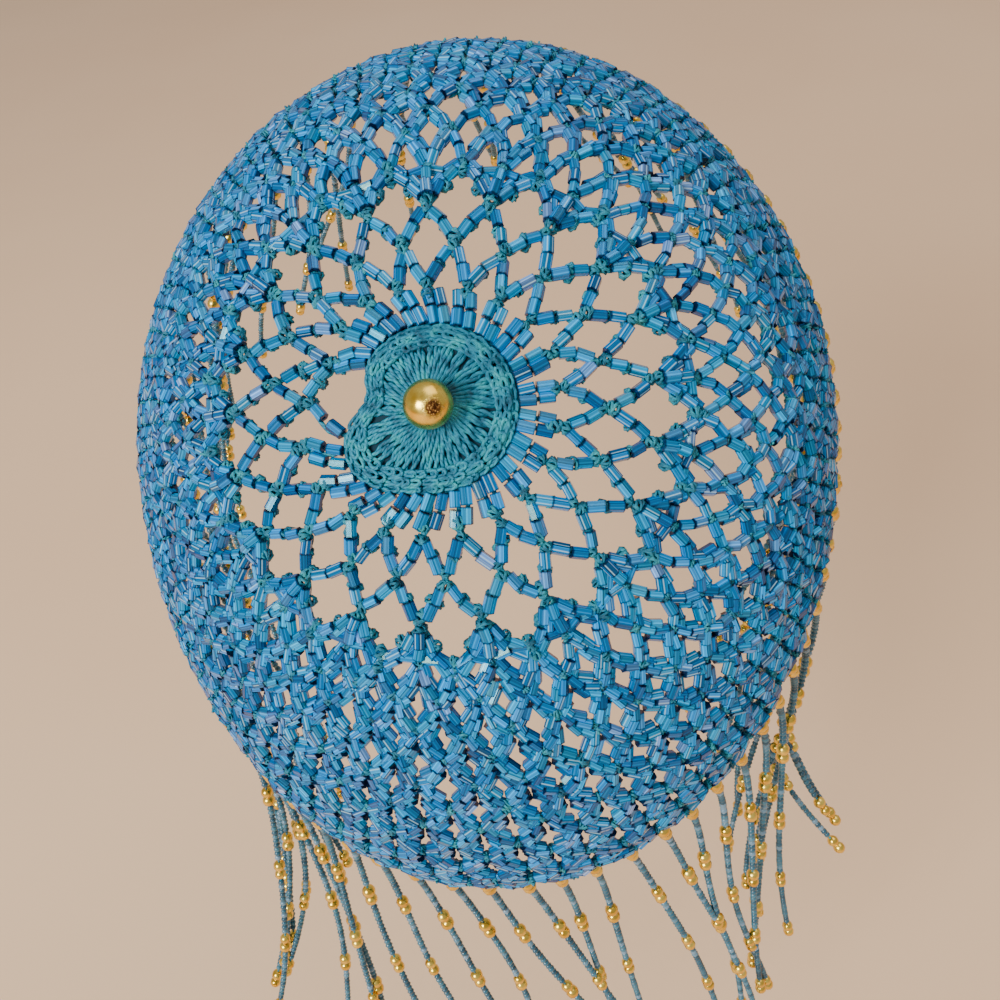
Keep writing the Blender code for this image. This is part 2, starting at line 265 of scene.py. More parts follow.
def disc_backing(material):
    """Dark sheet behind the disc's stitches, so that no light comes through between them: painted shade
    that darkens the gaps.
    """
    steps, rows = 84, 8
    bm = bmesh.new()
    rings = []
    for row in range(rows + 1):
        part = 0.97 * row / rows
        top = 0.0009 + 0.0004 * math.sin(part * 3)
        for lift in (top, 0.0002):
            ring = [bm.verts.new(BOWED @ disc_point(TURN * k / steps, part, lift)) for k in range(steps)]
            rings.append(ring)
    tops, unders = rings[0::2], rings[1::2]
    for a, b in list(zip(tops, tops[1:])) + list(zip(unders, unders[1:])) + [(tops[-1], unders[-1])]:
        for k in range(steps):
            bm.faces.new((a[k], b[k], b[(k + 1) % steps], a[(k + 1) % steps]))
    bmesh.ops.remove_doubles(bm, verts=bm.verts, dist=0.00001)
    bmesh.ops.recalc_face_normals(bm, faces=bm.faces)
    mesh = bpy.data.meshes.new("disc_backing")
    bm.to_mesh(mesh)
    bm.free()
    mesh.materials.append(material)
    mesh.shade_smooth()
    obj = bpy.data.objects.new("disc_backing", mesh)
    bpy.context.collection.objects.link(obj)
    return obj


def stitch_lines(rng):
    """Long stitches: two strands twisted round each other from the inner ring out to the chain rounds."""
    lines = []
    for k in range(STITCHES):
        angle = TURN * (k + 0.15 * rng.uniform(-1, 1)) / STITCHES
        lean = rng.uniform(-0.05, 0.05)
        turns = rng.uniform(1.1, 1.6)
        reach_out = rng.uniform(0.74, 0.84)
        for strand in (0, 0.5):
            line = []
            for i in range(9):
                t = i / 8
                twist = TURN * (turns * t + strand)
                part = INNER_RING + (reach_out - INNER_RING) * t
                side = THREAD_RADIUS * math.cos(twist) / (disc_edge(angle) * part)
                lift = 0.0013 + 0.0003 * math.sin(twist) + 0.0005 * math.sin(math.pi * t)
                line.append(disc_point(angle + side + lean * t, part, lift))
            lines.append(line)
    return lines


def chain_lines(rng):
    """Rounds of chain stitch at the disc's edge: V-shaped loops that each pull through the one before."""
    lines = []
    for part, lift, size in ((0.80, 0.0019, 1.0), (0.90, 0.0020, 1.0), (0.985, 0.0015, 0.9)):
        for k in range(CHAIN_LOOPS):
            angle = TURN * (k + 0.35 * rng.uniform(-1, 1)) / CHAIN_LOOPS
            wide = TURN / CHAIN_LOOPS * rng.uniform(0.65, 0.95)
            tall = size * rng.uniform(0.040, 0.068)
            start = rng.uniform(-0.6, 0.6)
            line = []
            for i in range(9):
                t = start + TURN * i / 8
                out = part + tall * math.sin(t) * (0.6 + 0.4 * math.cos(t))
                up = lift + 0.00028 * math.cos(t) + rng.uniform(-1, 1) * 0.00010
                line.append(disc_point(angle + wide * math.cos(t), out, up))
            lines.append(line)
    return lines


rng = random.Random(11)
cotton = cotton_material("teal cotton", 0.88)
thread_tree = twisted_thread_tree()
stitches = bake(chains("stitches", stitch_lines(rng)), thread_tree,
                {"Radius": THREAD_RADIUS, "Sides": 6, "Points": 17, "Material": cotton})
chain_edge = bake(chains("chain_edge", chain_lines(rng)), thread_tree,
                  {"Radius": THREAD_RADIUS, "Sides": 6, "Points": 16, "Material": cotton})
# The sheet behind the disc is painted shade: near-black teal where there is only shadow between the
# stitches.
shade_sheet_cotton = Shader("shaded cotton", Base_Color=(0.001, 0.030, 0.050, 1), Roughness=0.9).material
disc = join("crochet_disc", [disc_backing(shade_sheet_cotton), stitches, chain_edge])
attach(disc, "root")
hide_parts("medallion")

# Crown bead: one hollow gold-coloured ball sewn on at the centre of the disc. The plating is worn brown
# and pitted in a patch towards its left and front, around the thread hole.
BALL_RADIUS = 0.0040
BALL_CENTRE = Vector((0, 0, 0.0059))
WORN_DIRECTION = Vector((0.35, -0.28, 0.90))


def gold_material(name, worn_at=None):
    """Gold plating with a soft mottled polish, and a pitted brown patch where it has worn away."""
    m = Shader(name, Metallic=1.0)
    place = m.put("ShaderNodeTexCoord", out=3)
    cloud = m.put("ShaderNodeTexNoise", Vector=place, Scale=420.0, Detail=4.0)
    colour = m.ramp(cloud, ((0.3, (0.74, 0.42, 0.04)), (0.7, (1.00, 0.72, 0.15))))
    rough = m.put("ShaderNodeMapRange", Value=cloud, s1=0.3, s2=0.7, s3=0.16, s4=0.34)
    if worn_at:
        near = m.put("ShaderNodeVectorMath", out=1, settings={"operation": "DISTANCE"}, s0=place,
                     s1=worn_at)
        pits = m.put("ShaderNodeTexNoise", Vector=place, Scale=2600.0, Detail=3.0)
        edge = m.math("SUBTRACT", near, m.math("MULTIPLY", pits, 0.0014))
        bare = m.put("ShaderNodeMapRange", Value=edge, s1=0.0004, s2=0.0011, s3=1.0, s4=0.0)
        brown = m.ramp(pits, ((0.40, (0.06, 0.022, 0.008)), (0.55, (0.22, 0.09, 0.025)),
                              (0.66, (0.85, 0.52, 0.16))))
        colour = m.put("ShaderNodeMixRGB", Fac=bare, Color1=colour, Color2=brown)
        rough = m.math("MULTIPLY_ADD", bare, 0.4, rough)
        m.drive("Normal", m.put("ShaderNodeBump", Strength=0.5, Distance=0.0003,
                                Height=m.math("MULTIPLY", pits, bare)))
    m.drive("Base Color", colour)
    m.drive("Roughness", rough)
    return m.material


def gold_ball():
    bm = bmesh.new()
    bmesh.ops.create_uvsphere(bm, u_segments=48, v_segments=24, radius=BALL_RADIUS)
    bm.transform(BOWED @ Matrix.Translation(BALL_CENTRE))
    mesh = bpy.data.meshes.new("gold_crown_bead")
    bm.to_mesh(mesh)
    bm.free()
    mesh.shade_smooth()
    worn = BOWED @ (BALL_CENTRE + WORN_DIRECTION.normalized() * BALL_RADIUS)
    mesh.materials.append(gold_material("worn gold", worn))
    obj = bpy.data.objects.new("gold_crown_bead", mesh)
    bpy.context.collection.objects.link(obj)
    return obj


ball = gold_ball()
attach(ball, "root")
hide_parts("crown_bead")

# Bead collar: bugle beads of clear blue cut glass with a rainbow coat, two end to end in each of 42
# columns that stand round the disc. The columns go in pairs, and each pair is drawn to one knot outside.
# One column on the right side bridges the way to the next knot instead, which leaves a bare gap there.
REPEATS = 21
BUGLE_LENGTH = 0.0029
BUGLE_RADIUS = 0.00106
COLLAR_START = 0.0134
PARTED_AT = -5.5 * TURN / REPEATS
PARTED_INSIDE = math.radians(14.2)
UNSEWN = 30
TURNED = (math.radians(-125), math.radians(35), math.radians(7.5))
KNOT_REACH = (0.0202, 0.0276, 0.0350, 0.0422)
KNOT_SLIP = (math.radians(-70), math.radians(34), 0.0030)
KNOT_FOLD = (math.radians(-118), math.radians(9), 0.0025)
COLLAR_FOLD_SHARE = 0.6
SPOKE_START = 0.0122
SPOKE_LENGTH = 0.0080
SEWN_ROUNDS = (0.0127, 0.0134)
WALL_MIDDLE = 0.0010


def bugle_bead(sides, detailed):
    """One cut-glass bugle bead along Z, sawn off straight, with the start of its hole if detailed. The UV
    map counts the facets round the bead in U, and runs from one sawn end to the other in V."""
    half = BUGLE_LENGTH / 2
    profile = [(1.0, half, 1.0), (1.0, -half, 0.0)]
    if detailed:
        profile = [(0.36, half * 0.7, 1.0), (0.42, half, 1.0), *profile, (0.42, -half, 0.0),
                   (0.36, -half * 0.7, 0.0)]
    bm = bmesh.new()
    uv = bm.loops.layers.uv.new("glass")
    rings = []
    for share, z, _ in profile:
        radius = BUGLE_RADIUS * share
        turns = [TURN * k / sides for k in range(sides)]
        rings.append([bm.verts.new((radius * math.cos(a), radius * math.sin(a), z)) for a in turns])
    for row in range(len(rings) - 1):
        for k in range(sides):
            upper, lower, after = rings[row], rings[row + 1], (k + 1) % sides
            face = bm.faces.new((upper[k], lower[k], lower[after], upper[after]))
            places = ((k, profile[row][2]), (k, profile[row + 1][2]), (k + 1, profile[row + 1][2]),
                      (k + 1, profile[row][2]))
            for corner, place in zip(face.loops, places):
                corner[uv].uv = place
    bm.faces.new(rings[0])
    bm.faces.new(rings[-1][::-1])
    bmesh.ops.recalc_face_normals(bm, faces=bm.faces)
    mesh = bpy.data.meshes.new("bugle bead pattern")
    bm.to_mesh(mesh)
    bm.free()
    return bpy.data.objects.new("bugle bead pattern", mesh)


def strung_beads_tree():
    """Beads strung end to end along each line, each a little askew, turned and tinted by chance."""
    tree = Tree("strung beads", {"Bead": "Object", "Beads": "Int", "Askew": "Float", "Seed": "Int",
                                 "Material": "Material"})
    curve = tree.put("GeometryNodeMeshToCurve", Mesh=tree.inputs["Geometry"])
    inset = tree.math("DIVIDE", 0.5, tree.inputs["Beads"])
    curve = tree.put("GeometryNodeTrimCurve", Curve=curve, s2=inset, s3=tree.math("SUBTRACT", 1.0, inset))
    points = tree.put("GeometryNodeCurveToPoints", Curve=curve, Count=tree.inputs["Beads"]).node.outputs
    askew = tree.inputs["Askew"]
    low = tree.put("ShaderNodeCombineXYZ", X=tree.math("MULTIPLY", askew, -1.0),
                   Y=tree.math("MULTIPLY", askew, -1.0), Z=-math.pi)
    high = tree.put("ShaderNodeCombineXYZ", X=askew, Y=askew, Z=math.pi)
    jolt = tree.put("FunctionNodeRandomValue", settings={"data_type": "FLOAT_VECTOR"}, s0=low, s1=high,
                    Seed=tree.inputs["Seed"])
    lie = tree.put("FunctionNodeRotateRotation", settings={"rotation_space": "LOCAL"},
                   s0=points["Rotation"], s1=jolt)
    tint = tree.put("FunctionNodeRandomValue", out=1, settings={"data_type": "FLOAT"}, s2=0.0, s3=1.0,
                    Seed=tree.math("ADD", tree.inputs["Seed"], 7))
    cloud = tree.put("GeometryNodeStoreNamedAttribute", settings={"data_type": "FLOAT", "domain": "POINT"},
                     Geometry=points["Points"], Name="tint", Value=tint)
    size = tree.put("FunctionNodeRandomValue", out=1, settings={"data_type": "FLOAT"}, s2=0.92, s3=1.06,
                    Seed=tree.math("ADD", tree.inputs["Seed"], 3))
    bead = tree.put("GeometryNodeObjectInfo", out="Geometry", Object=tree.inputs["Bead"])
    made = tree.put("GeometryNodeInstanceOnPoints", Points=cloud, Instance=bead, Rotation=lie, Scale=size)
    made = tree.put("GeometryNodeRealizeInstances", Geometry=made)
    return tree.finish(tree.put("GeometryNodeSetMaterial", Geometry=made, Material=tree.inputs["Material"]))


def cut_glass_material():
    """Clear blue glass: most beads blue to aqua, some with a lilac or rose coat over them. Each facet has
    painted highlight streaks along it, standing for light from the hole's far wall, and is painted lighter
    or darker by its place round the bead; some beads carry a painted pale glint, and painted shade darkens
    the sawn ends."""
    m = Shader("blue cut glass", Roughness=0.20, IOR=1.5, Coat_Weight=0.15, Coat_Roughness=0.12,
               Transmission_Weight=0.25, Thin_Film_Thickness=380.0, Thin_Film_IOR=1.40)
    tint = m.put("ShaderNodeAttribute", out=2, settings={"attribute_name": "tint"})
    colour = m.ramp(tint, ((0.00, (0.001, 0.12, 0.36)), (0.30, (0.001, 0.22, 0.55)),
                           (0.60, (0.001, 0.36, 0.66)), (0.86, (0.002, 0.29, 0.72)),
                           (0.96, (0.04, 0.31, 0.70)), (1.00, (0.22, 0.38, 0.76))))
    place = m.put("ShaderNodeAttribute", out=1, settings={"attribute_name": "glass"})
    around, along, _ = m.put("ShaderNodeSeparateXYZ", s0=place).node.outputs
    across = m.math("FRACT", around)
    # Painted highlight streaks along each facet, with painted dark lines at its edges, for light seen
    # through the glass.
    streak = m.ramp(across, ((0.00, (0.30, 0.36, 0.42)), (0.10, (1.5, 1.5, 1.4)), (0.20, (0.65, 0.75, 0.8)),
                             (0.50, (0.90, 0.95, 1.0)), (0.66, (2.1, 2.0, 1.8)), (0.76, (0.8, 0.85, 0.9)),
                             (1.00, (0.30, 0.36, 0.42))))
    # Painted facet light: each facet is made lighter or darker by its number round the bead, as if lit from
    # one side.
    which = m.math("SINE", m.math("MULTIPLY", m.math("FLOOR", around), 2.4))
    facet = m.put("ShaderNodeMapRange", Value=which, s1=-1.0, s2=1.0, s3=0.55, s4=1.45)
    toned = m.put("ShaderNodeMixRGB", settings={"blend_type": "MULTIPLY"}, Fac=0.85, Color1=colour,
                  Color2=streak)
    toned = m.put("ShaderNodeVectorMath", settings={"operation": "SCALE"}, s0=toned, s3=facet)
    # Painted shade: the colour darkens towards the sawn ends.
    from_end = m.math("SUBTRACT", 0.5, m.math("ABSOLUTE", m.math("SUBTRACT", along, 0.5)))
    rim = m.put("ShaderNodeMapRange", Value=from_end, s1=0.02, s2=0.10, s3=1.0, s4=0.0)
    ends = m.put("ShaderNodeMixRGB", settings={"blend_type": "MULTIPLY"}, Fac=rim, Color1=toned,
                 Color2=(0.10, 0.18, 0.24, 1))
    # Painted highlight: a pale glint along one facet of some beads.
    line = m.ramp(across, ((0.52, (0, 0, 0)), (0.60, (1, 1, 1)), (0.68, (1, 1, 1)), (0.76, (0, 0, 0))))
    bright = m.math("GREATER_THAN", m.math("FRACT", m.math("MULTIPLY", tint, 37.0)), 0.72)
    clear = m.math("MULTIPLY", m.math("SUBTRACT", 1.0, rim), 0.75)
    glint = m.math("MULTIPLY", m.math("MULTIPLY", line, bright), clear)
    m.drive("Base Color", m.put("ShaderNodeMixRGB", Fac=glint, Color1=ends, Color2=(0.62, 0.88, 0.92, 1)))
    return m.material


def turned(angle, share=1.0):
    """Where the columns and first knots of this angle lie, which have turned away from the gap."""
    return angle - swell(angle, TURNED) * share


def column_ends(k):
    """Angles of a column at the disc and at its knot: pairs lean together, away from the gap."""
    centre = TURN * (k // 2 + 0.5) / REPEATS
    side = (k % 2 - 0.5) * TURN / (2 * REPEATS)
    parted = PARTED_INSIDE * (1 - (centre + side - PARTED_AT) % TURN / math.pi)
    outside = 0.15 * side if k == UNSEWN + 1 else 0.74 * side + 0.10 * parted
    return turned(centre + side + parted), turned(centre + outside)


def collar_spot(angle, reach, lift):
    """Point of the collar, which starts where the disc ends and goes along with the knots outside it."""
    outward = (reach - COLLAR_START) / (KNOT_REACH[0] - COLLAR_START)
    inside = swell(angle, DISC_SLIP) - COLLAR_FOLD_SHARE * swell(angle, DISC_FOLD)
    outside = swell(angle, KNOT_SLIP) - swell(angle, KNOT_FOLD)
    return dome(angle, slope_at(angle, reach + inside + (outside - inside) * outward), lift)


def sewn_columns():
    return [k for k in range(2 * REPEATS) if k != UNSEWN]


def column_lines(rng):
    """The doubled columns, from the disc to their knots."""
    lines = []
    for k in sewn_columns():
        start, end = column_ends(k)
        sway = rng.uniform(-0.010, 0.010)
        lift = WALL_MIDDLE + rng.uniform(0.0002, 0.0005)
        reach = COLLAR_START + 2 * BUGLE_LENGTH * 1.05
        lines.append([collar_spot(start + sway + (end - start) * t,
                                  COLLAR_START + (reach - COLLAR_START) * t, lift) for t in (0, 0.5, 1)])
    return lines


def collar_thread_lines():
    """Thread along each column, and two rounds of it between the disc and the beads."""
    lines = []
    for k in sewn_columns():
        start, end = column_ends(k)[0], turned(TURN * (k // 2 + 0.5) / REPEATS)
        lines.append([collar_spot(start + (end - start) * t * t, SPOKE_START + SPOKE_LENGTH * t, 0.0007)
                      for t in (0, 0.5, 1)])
    for reach in SEWN_ROUNDS:
        first, last = column_ends(UNSEWN + 1)[0], column_ends(UNSEWN - 1)[0] + TURN
        lines.append([collar_spot(first + (last - first) * i / 60, reach, 0.0008) for i in range(61)])
    return lines


glass = cut_glass_material()
bead_tree = strung_beads_tree()
bead = bugle_bead(6, True)
small_bead = bugle_bead(6, False)
collar = bake(chains("collar_beads", column_lines(rng)), bead_tree,
              {"Bead": bead, "Beads": 2, "Askew": 0.05, "Seed": 5, "Material": glass})
collar.data.shade_flat()
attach(collar, "root")
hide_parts("bead_collar")
*collar_spokes, first_round, second_round = collar_thread_lines()
spokes = bake(chains("collar_spokes", collar_spokes), thread_tree,
              {"Radius": 0.00042, "Sides": 5, "Points": 8, "Material": cotton})
rounds = bake(chains("collar_rounds", [first_round, second_round]), thread_tree,
              {"Radius": 0.00050, "Sides": 6, "Points": 160, "Material": cotton})
collar_thread = join("collar_thread", [spokes, rounds])
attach(collar_thread, "root")

# Crown net: chains of crochet from knot to knot in an open star of 21 repeats, each arm carrying two
# bugle beads. The thread shows at the knots and between the beads, thick and fuzzy.
KNOT_SHARE = (1.0, 0.8, 0.4, 0.0)
DENSE_ROUNDS = 12
DENSE_EASE = (1.0, 0.80)
HEM_SLOPE = math.radians(72.5)
RADIAN_LENGTH = 0.08
KNOT_SIZE = 0.00135
ARM_RISE = 0.0003


def round_slope(angle, round_number):
    """Slope of a dense round: 0 is the last coarse one and DENSE_ROUNDS is the hem. The rounds crowd a
    little towards the hem at the sides, where the loops are pulled wide."""
    first = slope_at(angle, KNOT_REACH[-1])
    ease = DENSE_EASE[0] + (DENSE_EASE[1] - DENSE_EASE[0]) * (1 - max(0, math.cos(angle)) ** 2)
    return first + (HEM_SLOPE - first) * (round_number / DENSE_ROUNDS) ** ease


def knot_place(level, half_steps):
    """Angle and slope of a knot, named by its round and its place in half repeats."""
    angle = half_steps * TURN / (2 * REPEATS)
    coarse = len(KNOT_REACH) - 1
    if level > coarse:
        return angle, round_slope(angle, level - coarse)
    drawn_in = 0
    if level == 0:
        angle = turned(angle)
        drawn_in = swell(angle, KNOT_FOLD)
    slip = KNOT_SHARE[level] * swell(angle, KNOT_SLIP)
    return angle, slope_at(angle, KNOT_REACH[level] + slip - drawn_in)


slack = random.Random(5)
knots_at = {}


def knot(level, half_steps):
    """A knot's angle and slope, moved a little by chance, the same each time it is asked for."""
    key = (level, round(half_steps % (2 * REPEATS), 2))
    if key not in knots_at:
        loose = 0.0005 if level < 4 else 0.0006
        knots_at[key] = (slack.uniform(-1, 1) * loose, slack.uniform(-1, 1) * loose)
    angle, slope = knot_place(level, half_steps)
    around, down = knots_at[key]
    return angle + around / max(0.02, full_reach(angle) * math.sin(slope)), slope + down / RADIAN_LENGTH


def arm(start, end, bow, clear, lift, aside=0.0, wound=0.0):
    """A line from one knot to the next, bowed towards the hem and clear of the knots at both ends, moved
    aside if it lies next to another, and wound from side to side of the two beads if it is thread."""
    (angle_a, slope_a), (angle_b, slope_b) = knot(*start), knot(*end)
    points = []
    for i in range(5):
        t = clear + (1 - 2 * clear) * i / 4
        rise = bow * math.sin(math.pi * t)
        angle = angle_a + (angle_b - angle_a) * t
        off = rise + aside + wound * math.cos(math.pi * (t - 0.3) / 0.4)
        slope = slope_a + (slope_b - slope_a) * t + off / RADIAN_LENGTH
        points.append(dome(angle, slope, lift + ARM_RISE * math.sin(math.pi * t)))
    return points


def length(line):
    return sum((b - a).length for a, b in zip(line, line[1:]))


def coarse_arms():
    """The two knots of each arm: the first is the bridge beside the gap in the collar."""
    ends = [((0, UNSEWN - 1), (0, UNSEWN + 1))]
    for k in range(REPEATS):
        at = 2 * k
        for level, first in ((0, at + 1), (1, at), (2, at + 1)):
            ends += [((level, first), (level + 1, first - 1)), ((level, first), (level + 1, first + 1))]
    return ends


def knot_tree():
    """Bunches of crossed loops of thread at each point, turned by chance."""
    tree = Tree("crochet knots", {"Knot": "Object", "Size": "Float", "Seed": "Int", "Material": "Material"})
    points = tree.put("GeometryNodeMeshToPoints", Mesh=tree.inputs["Geometry"])
    turn = tree.put("FunctionNodeRandomValue", settings={"data_type": "FLOAT_VECTOR"},
                    s0=(-3.1, -3.1, -3.1), s1=(3.1, 3.1, 3.1), Seed=tree.inputs["Seed"])
    size = tree.put("FunctionNodeRandomValue", out=1, settings={"data_type": "FLOAT"}, s2=0.85, s3=1.2,
                    Seed=tree.math("ADD", tree.inputs["Seed"], 1))
    made = tree.put("GeometryNodeInstanceOnPoints", Points=points,
                    Instance=tree.put("GeometryNodeObjectInfo", out="Geometry", Object=tree.inputs["Knot"]),
                    Rotation=turn, Scale=tree.put("ShaderNodeVectorMath", settings={"operation": "SCALE"},
                                                  s0=(1.40, 1.0, 0.70),
                                                  s3=tree.math("MULTIPLY", size, tree.inputs["Size"])))
    made = tree.put("GeometryNodeRealizeInstances", Geometry=made)
    return tree.finish(tree.put("GeometryNodeSetMaterial", Geometry=made, Material=tree.inputs["Material"]))


def knot_pattern(material, points, sides):
    """A closed tangle of wound thread, one unit in radius, for the knots to be made from."""
    line = []
    for i in range(points + 1):
        t = TURN * i / points
        tilt = 5 * t
        line.append(Vector((0.74 * math.cos(2 * t) * math.cos(tilt),
                            0.74 * math.sin(2 * t) * math.cos(tilt), 0.95 * math.sin(tilt))))
    mesh = bpy.data.meshes.new("knot pattern")
    mesh.from_pydata(line, [(k, k + 1) for k in range(points)], [])
    obj = bpy.data.objects.new("knot pattern", mesh)
    bpy.context.collection.objects.link(obj)
    bake(obj, thread_tree, {"Radius": 0.18, "Sides": sides, "Points": points, "Material": material})
    for value in obj.data.attributes["along"].data:
        value.value *= KNOT_SIZE
    bpy.context.collection.objects.unlink(obj)
    return obj


def knots(name, places, pattern, size, seed):
    """A knot at each place, given by its angle, slope and lift."""
    mesh = bpy.data.meshes.new(name)
    mesh.from_pydata([BOWED @ dome(angle, slope, lift) for angle, slope, lift in places], [], [])
    obj = bpy.data.objects.new(name, mesh)
    bpy.context.collection.objects.link(obj)
    return bake(obj, knots_tree, {"Knot": pattern, "Size": size, "Seed": seed, "Material": net_cotton})


def clump_lines(rng):
    """Beaded arcs and stems that fill the triangles between the coarse diamonds and the dense rounds."""
    lines = []
    for k in range(REPEATS):
        at = 2 * k + 1
        for side in (-1, 1):
            lines.append(arm((2, at), (3, at + side), 0.0004, 0.12, WALL_MIDDLE, 0.0017))
            lines.append(arm((3, at), (3, at + side), -0.0008, 0.10, WALL_MIDDLE, -0.0004))
        lines.append(arm((2, at), (3, at), 0, 0.20, WALL_MIDDLE + 0.0008 + 0.0003 * rng.random()))
    return lines


# The net's thread is the same cotton made a little darker: painted shade.
net_cotton = cotton_material("teal cotton of the net", 0.85)
knots_tree = knot_tree()
big_knot = knot_pattern(net_cotton, 34, 5)
small_knot = knot_pattern(net_cotton, 20, 4)
coarse_ends = coarse_arms()
bows = [0.0003 * slack.uniform(-1, 1) + (0.0009 if a[0] == 2 else 0) for a, b in coarse_ends]
bows[0] = 0.0006
bead_lines = [arm(a, b, bow, 0.15, WALL_MIDDLE + 0.0001) for (a, b), bow in zip(coarse_ends, bows)]
bead_lines += clump_lines(slack)
crown_beads = bake(chains("crown_net_beads", bead_lines), bead_tree,
                   {"Bead": bead, "Beads": 2, "Askew": 0.16, "Seed": 21, "Material": glass})
crown_beads.data.shade_flat()
thread_lines = [arm(a, b, bow, 0.0, WALL_MIDDLE - 0.0004 + side * 0.0002, wound=side * 0.0009)
                for (a, b), bow in zip(coarse_ends, bows) for side in (-1, 1)] + clump_lines(slack)
crown_thread = bake(chains("crown_net_arms", thread_lines), thread_tree,
                    {"Radius": 0.00038, "Sides": 6, "Points": 11, "Material": net_cotton})
spots = []
for level in range(4):
    for k in range(REPEATS):
        angle, slope = knot(level, 2 * k + (level + 1) % 2)
        spots += [(angle, slope + off / RADIAN_LENGTH, WALL_MIDDLE + 0.0002) for off in (-0.0010, 0.0010)]
for a, b in coarse_ends:
    (angle_a, slope_a), (angle_b, slope_b) = knot(*a), knot(*b)
    spots.append(((angle_a + angle_b) / 2, (slope_a + slope_b) / 2, WALL_MIDDLE - 0.0003))
crown_knots = knots("crown_net_knots", spots, big_knot, KNOT_SIZE, 3)
crown_thread = join("crown_net_thread", [crown_thread, crown_knots])
for piece, slot in ((crown_beads, "blue_beads"), (crown_thread, "teal_cotton")):
    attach(piece, "root")
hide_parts("crown_net")

# Side net: twelve closer rounds of 42 beaded loops down to the hem, each hung from the middles of the
# loops above. The arms carry two or three beads in up to four rows: more rows towards the hem and at the
# front, and fewer on the left side, where the net is pulled wide. A row of BEAD_ROWS says how far beside
# its arm it lies, and its least chance, with what the round, the side and the front add to that.
OPEN_SIDE = (math.radians(98), math.radians(52), 1.0)
CLOSED_FRONT = (math.radians(-12), math.radians(36), 1.0)
BEAD_ROWS = (
    (0.0, 1.00, 0.0, 0.0, 0.0),
    (0.0018, 0.25, 0.95, 0.60, 0.5),
    (-0.0016, -0.45, 1.45, 1.00, 0.6),
    (0.0034, -0.90, 0.90, 0.25, 1.3),
)


def dense_arms():
    ends = []
    for row in range(DENSE_ROUNDS):
        for k in range(2 * REPEATS):
            at = k + 0.5 * (row % 2)
            ends += [((3 + row, at), (4 + row, at - 0.5)), ((3 + row, at), (4 + row, at + 0.5))]
    return ends


def dense_lines(ends, rng):
    """Bead lines by how many beads fit on them. Each row of beads lies a little beside the arm's own line,
    with a chance that grows towards the hem, away from the open side and at the front."""
    lines = {2: [], 3: []}
    for a, b in ends:
        part = (a[0] - 3) / (DENSE_ROUNDS - 1)
        bow = 0.0007 + 0.0005 * rng.uniform(-1, 1)
        lift = WALL_MIDDLE + 0.0002 * rng.uniform(-1, 1)
        angle = knot_place(*a)[0]
        for aside, least, by_round, by_side, by_front in BEAD_ROWS:
            chance = least + by_round * part + by_side * (1 - swell(angle, OPEN_SIDE))
            chance += by_front * swell(angle, CLOSED_FRONT)
            if aside > 0.002 and part == 1:
                chance = 0
            if rng.random() < chance:
                clear = 0.08 + min(abs(aside), 0.0018) * 50 + 0.06 * rng.random()
                line = arm(a, b, bow, clear, lift - abs(aside) * 0.15, aside + 0.0002 * rng.uniform(-1, 1))
                lines[3 if length(line) > 2.4 * BUGLE_LENGTH else 2].append(line)
    return lines


dense_ends = dense_arms()
side_beads = {}
for count, lines in dense_lines(dense_ends, slack).items():
    side_beads[count] = bake(chains(f"side_net_beads_by_{count}", lines), bead_tree,
                             {"Bead": small_bead, "Beads": count, "Askew": 0.17, "Seed": 41 + count,
                              "Material": glass})
    side_beads[count].data.shade_flat()
under = [arm(a, b, 0.0007, 0.0, WALL_MIDDLE - 0.0004, 0.0003, side * 0.0010) for a, b in dense_ends
         for side in (-1, 1)]
side_thread = bake(chains("side_net_arms", under), thread_tree,
                   {"Radius": 0.00052, "Sides": 4, "Points": 8, "Material": net_cotton})
side_spots = []
for row in range(DENSE_ROUNDS + 1):
    for k in range(2 * REPEATS):
        angle, slope = knot(3 + row, k + 0.5 * (row % 2))
        side_spots.append((angle, slope, WALL_MIDDLE + 0.0001))
        if slack.random() < 0.5:
            side_spots.append((angle, slope + 0.0012 / RADIAN_LENGTH, WALL_MIDDLE - 0.0002))
side_knots = knots("side_net_knots", side_spots, small_knot, 0.0014, 8)
for piece, slot in ((side_beads[2], "blue_beads"), (side_beads[3], "blue_beads"),
                    (side_thread, "teal_cotton"), (side_knots, "teal_cotton")):
    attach(piece, "root")
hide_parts("side_net", "hem_band")

# Fringe: strings of small round blue beads tied all along the hem, with gold beads in pairs at the hem,
# every few centimetres and at the tips. They hang down past the front and the sides of the bowed rim, and
# at the back they go on the way the cap's wall does.
STRANDS = 76
STRAND_LENGTH = 0.122
STRAND_POINTS = 75
SEED_RADIUS = 0.00092
SEED_LENGTH = 0.00150
GOLD_RADIUS = 0.00156
FLUNG = {14: (-0.81, -0.34, 0.86), 16: (-0.79, -0.38, 1.02), 17: (-0.79, -0.42, 0.90)}
FALL = (
    (-180, 0.80, 0.00, 0.80),
    (-140, 0.50, 0.00, 0.50),
    (-112, 0.02, 0.10, 0.02),
    (-88, -0.31, 0.34, -0.06),
    (-68, -0.20, 0.37, 0.07),
    (-60, -0.32, 0.34, 0.55),
    (-54, -0.40, 0.26, 0.95),
    (-48, -0.36, 0.17, 1.10),
    (-43, -0.22, 0.09, 0.90),
    (-34, 0.06, 0.09, 0.43),
    (-20, 0.14, 0.14, 0.14),
    (0, 0.05, 0.20, 0.05),
    (20, 0.06, 0.16, 0.06),
    (38, 0.14, 0.06, 0.14),
    (56, -0.10, -0.18, 0.10),
    (76, -0.40, -0.14, -0.05),
    (95, -0.40, -0.20, -0.25),
    (118, 0.06, 0.00, 0.06),
    (142, 0.50, 0.00, 0.50),
    (180, 0.80, 0.00, 0.80),
)


